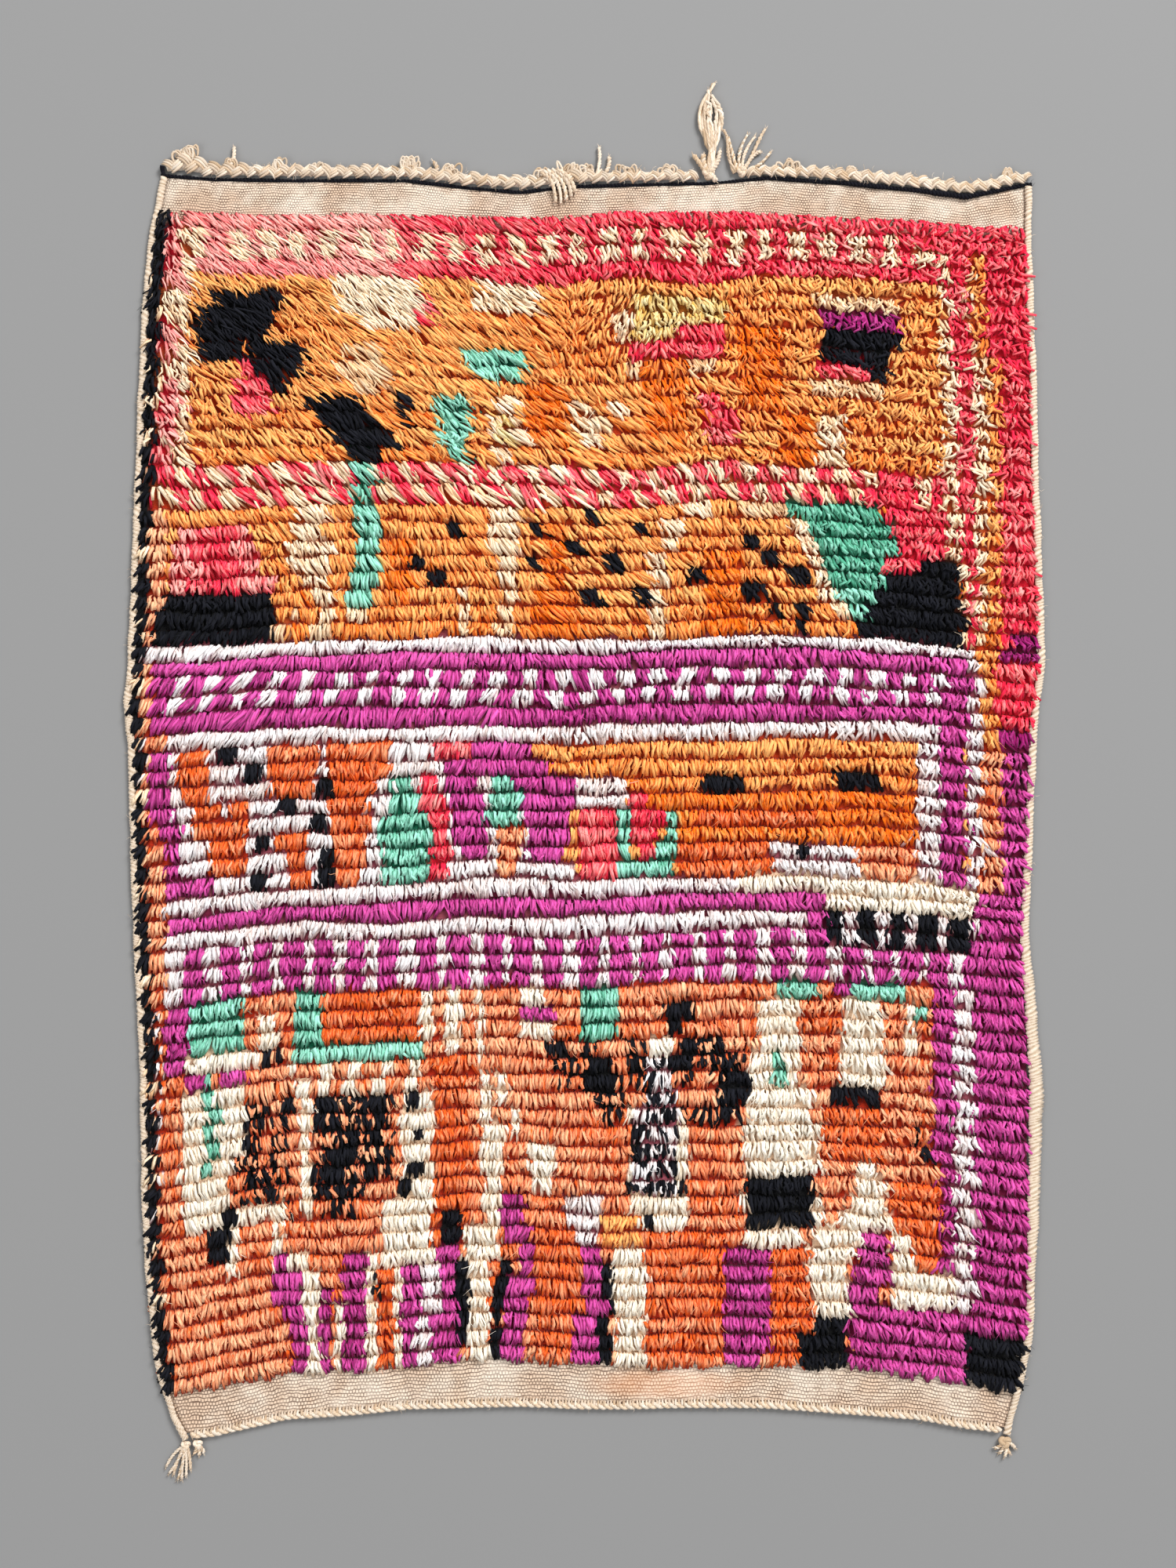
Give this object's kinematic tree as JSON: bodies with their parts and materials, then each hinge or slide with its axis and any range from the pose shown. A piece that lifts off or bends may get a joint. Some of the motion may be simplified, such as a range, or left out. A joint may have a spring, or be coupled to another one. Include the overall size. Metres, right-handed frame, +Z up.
{
  "type": "boujaad rug",
  "caption": "Shaggy hand-knotted wool rug lying flat, with flatwoven ends, corded sides, a plaited end finish and small cream tassels.",
  "frame": {"origin": "on the floor under the middle of the rug's box, tassels included", "axes": "+X across the rug, +Y along it towards the plaited end, +Z up from the floor"},
  "size_m": [1.5474, 2.335, 0.0212],
  "materials": {
    "orange_wool": "matt shaggy wool pile, light to coral orange",
    "cream_wool": "matt shaggy wool pile, natural cream",
    "red_wool": "matt shaggy wool pile, madder red to coral",
    "purple_wool": "matt shaggy wool pile, magenta purple",
    "mint_wool": "matt shaggy wool pile, mint green",
    "black_wool": "matt shaggy wool pile, black",
    "ground_weave": "matt plain weave, beige wool weft over cream warp",
    "cream_cord": "matt overcast yarn, cream",
    "cream_plait": "matt plaited yarn, cream"
  },
  "bodies": {
    "root": {"rug_body": "orange_wool", "left_binding": "cream_cord", "right_binding": "cream_cord", "twined_line": "black_wool", "left_plait": "cream_plait", "right_plait": "cream_plait", "foot_cord": "cream_cord", "folded_bundle": "cream_plait", "tall_tassel": "cream_plait", "fan_tassel": "cream_plait", "corner_tassel": "cream_plait", "left_knot": "cream_plait", "right_knot": "cream_plait"}
  },
  "joints": []
}
